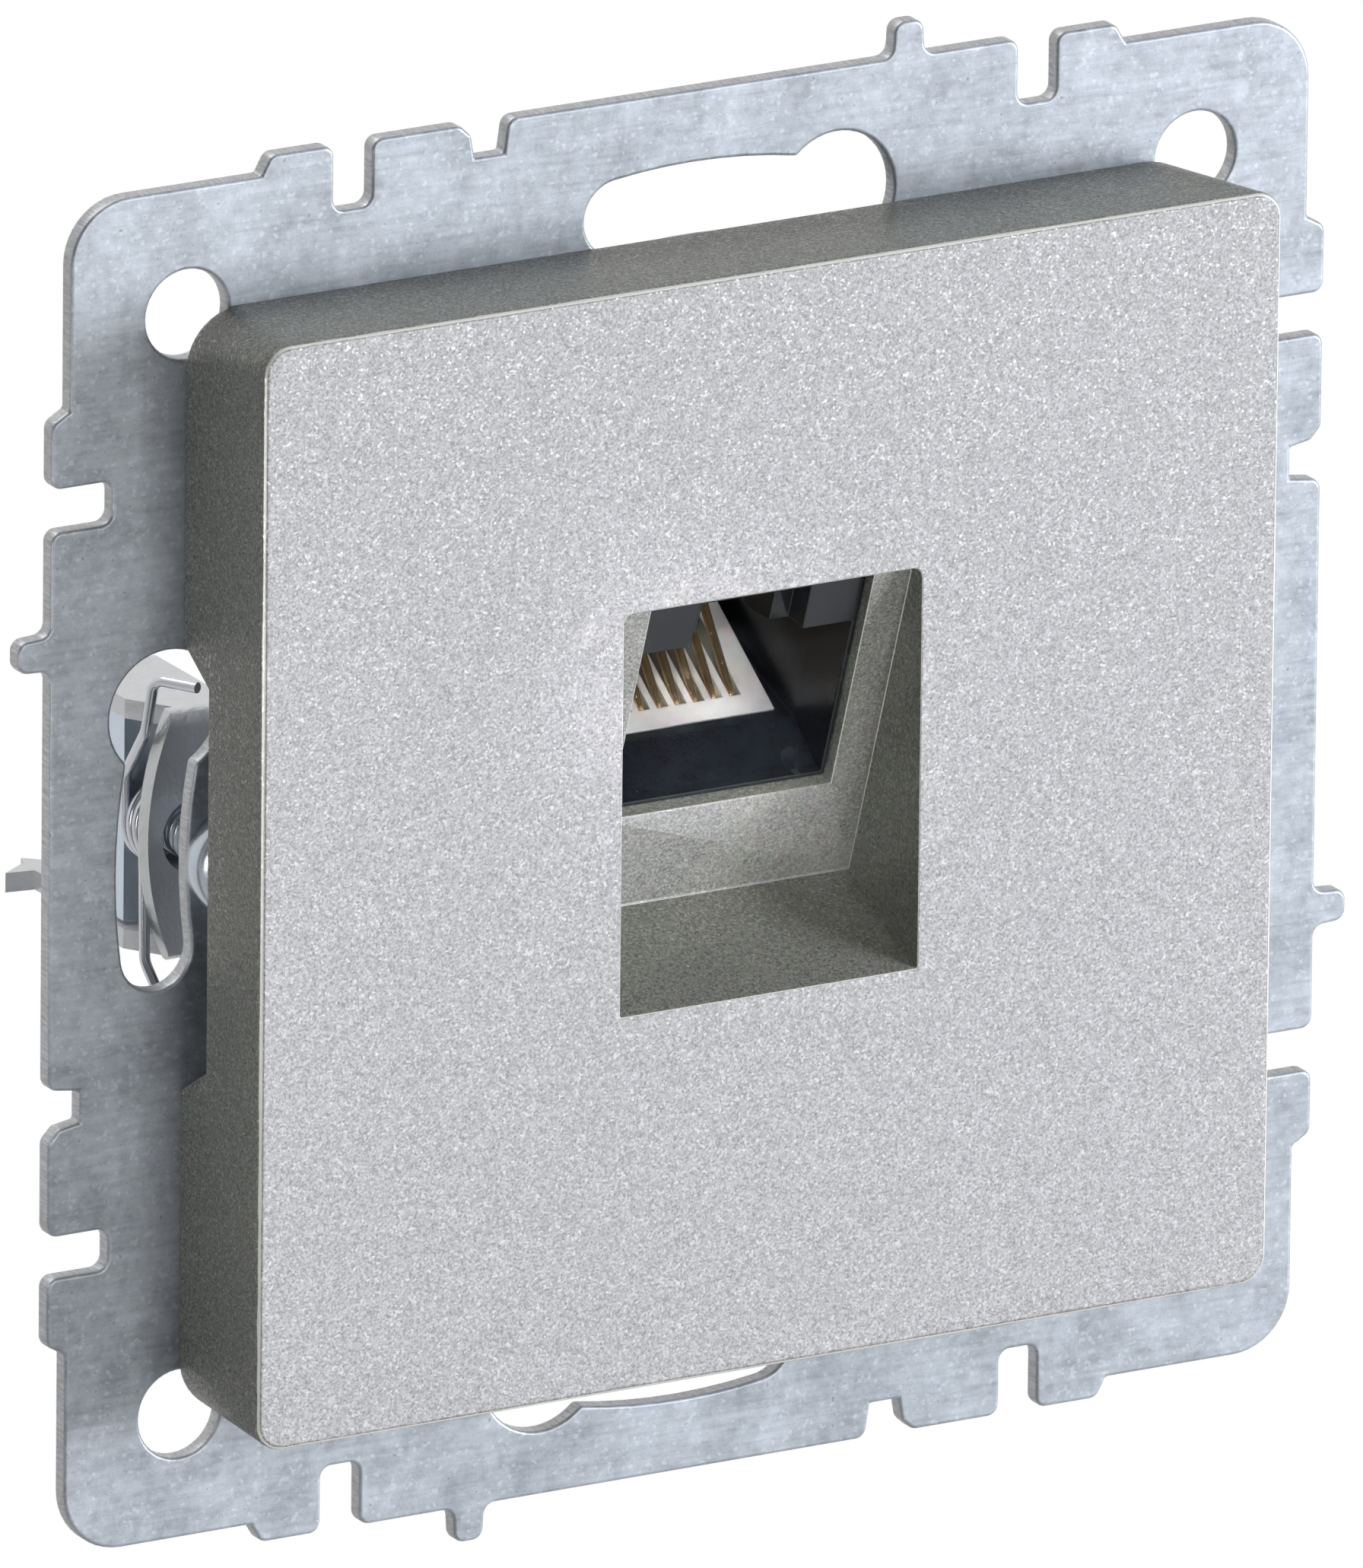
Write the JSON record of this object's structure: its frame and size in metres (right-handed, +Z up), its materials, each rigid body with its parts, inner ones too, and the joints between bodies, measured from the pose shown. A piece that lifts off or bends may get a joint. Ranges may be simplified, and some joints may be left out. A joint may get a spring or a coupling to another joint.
{
  "type": "ethernet wall socket",
  "caption": "Flush wall outlet insert with one tilted eight-way data port: a painted square cover on a stamped steel strap with screw-driven wall box claws.",
  "frame": {"origin": "middle of the strap on its rear face, which lies on the wall", "axes": "+X right and +Z up as one faces the wall, +Y into the wall"},
  "size_m": [0.0746, 0.0323, 0.0746],
  "materials": {
    "zinc_strap": "galvanised sheet, faint mottle and brushed lines",
    "aluminium_paint": "moulded plastic with fine-grained aluminium-coloured paint",
    "grey_plastic": "moulded, matt",
    "black_plastic": "moulded, satin gloss",
    "white_plastic": "moulded, smooth",
    "gold_contact": "gold-plated bronze wire",
    "green_board": "glass-fibre laminate with green solder resist",
    "terminal_plastic": "moulded, matt",
    "tinned_contact": "tinned bronze blade",
    "cap_plastic": "moulded, milky",
    "bright_zinc": "bright zinc plate",
    "spring_steel": "bright drawn wire"
  },
  "bodies": {
    "socket": {"support_strap": "zinc_strap", "front_cover": "aluminium_paint", "jack_carrier": "grey_plastic", "jack_housing": "black_plastic", "contact_insert": "white_plastic", "spring_contacts": "gold_contact", "jack_board": "green_board", "idc_block_left": "terminal_plastic", "idc_block_right": "terminal_plastic", "idc_contacts_left": "tinned_contact", "idc_contacts_right": "tinned_contact", "idc_cap_left": "cap_plastic", "idc_cap_right": "cap_plastic"},
    "screw_left": {"claw_screw_left": "bright_zinc"},
    "nut_left": {"claw_nut_left": "bright_zinc", "claw_spring_left": "spring_steel"},
    "claw_left": {"claw_left": "bright_zinc"},
    "screw_right": {"claw_screw_right": "bright_zinc"},
    "nut_right": {"claw_nut_right": "bright_zinc", "claw_spring_right": "spring_steel"},
    "claw_right": {"claw_right": "bright_zinc"}
  },
  "joints": [
    {"name": "nut_left_travel", "type": "slide", "parent": "socket", "child": "nut_left", "axis": [0, -1, 0], "range_m": [0, 0.0012]},
    {"name": "screw_left_turn", "type": "hinge", "parent": "socket", "child": "screw_left", "pos_m": [-0.0251, 0, 0], "axis": [0, 1, 0], "range_deg": [0, 864]},
    {"name": "claw_left_swing", "type": "hinge", "parent": "socket", "child": "claw_left", "pos_m": [-0.0186, 0.0035, 0], "axis": [0, 0, 1], "range_deg": [0, 15]},
    {"name": "nut_right_travel", "type": "slide", "parent": "socket", "child": "nut_right", "axis": [0, -1, 0], "range_m": [0, 0.0012]},
    {"name": "screw_right_turn", "type": "hinge", "parent": "socket", "child": "screw_right", "pos_m": [0.0251, 0, 0], "axis": [0, 1, 0], "range_deg": [0, 864]},
    {"name": "claw_right_swing", "type": "hinge", "parent": "socket", "child": "claw_right", "pos_m": [0.0186, 0.0035, 0], "axis": [0, 0, -1], "range_deg": [0, 15]}
  ],
  "couplings": [
    {"joint": "screw_left_turn", "follows": "nut_left_travel", "rad_per_m": 12566},
    {"joint": "claw_left_swing", "follows": "nut_left_travel", "rad_per_m": 218.17},
    {"joint": "screw_right_turn", "follows": "nut_right_travel", "rad_per_m": 12566},
    {"joint": "claw_right_swing", "follows": "nut_right_travel", "rad_per_m": 218.17}
  ]
}
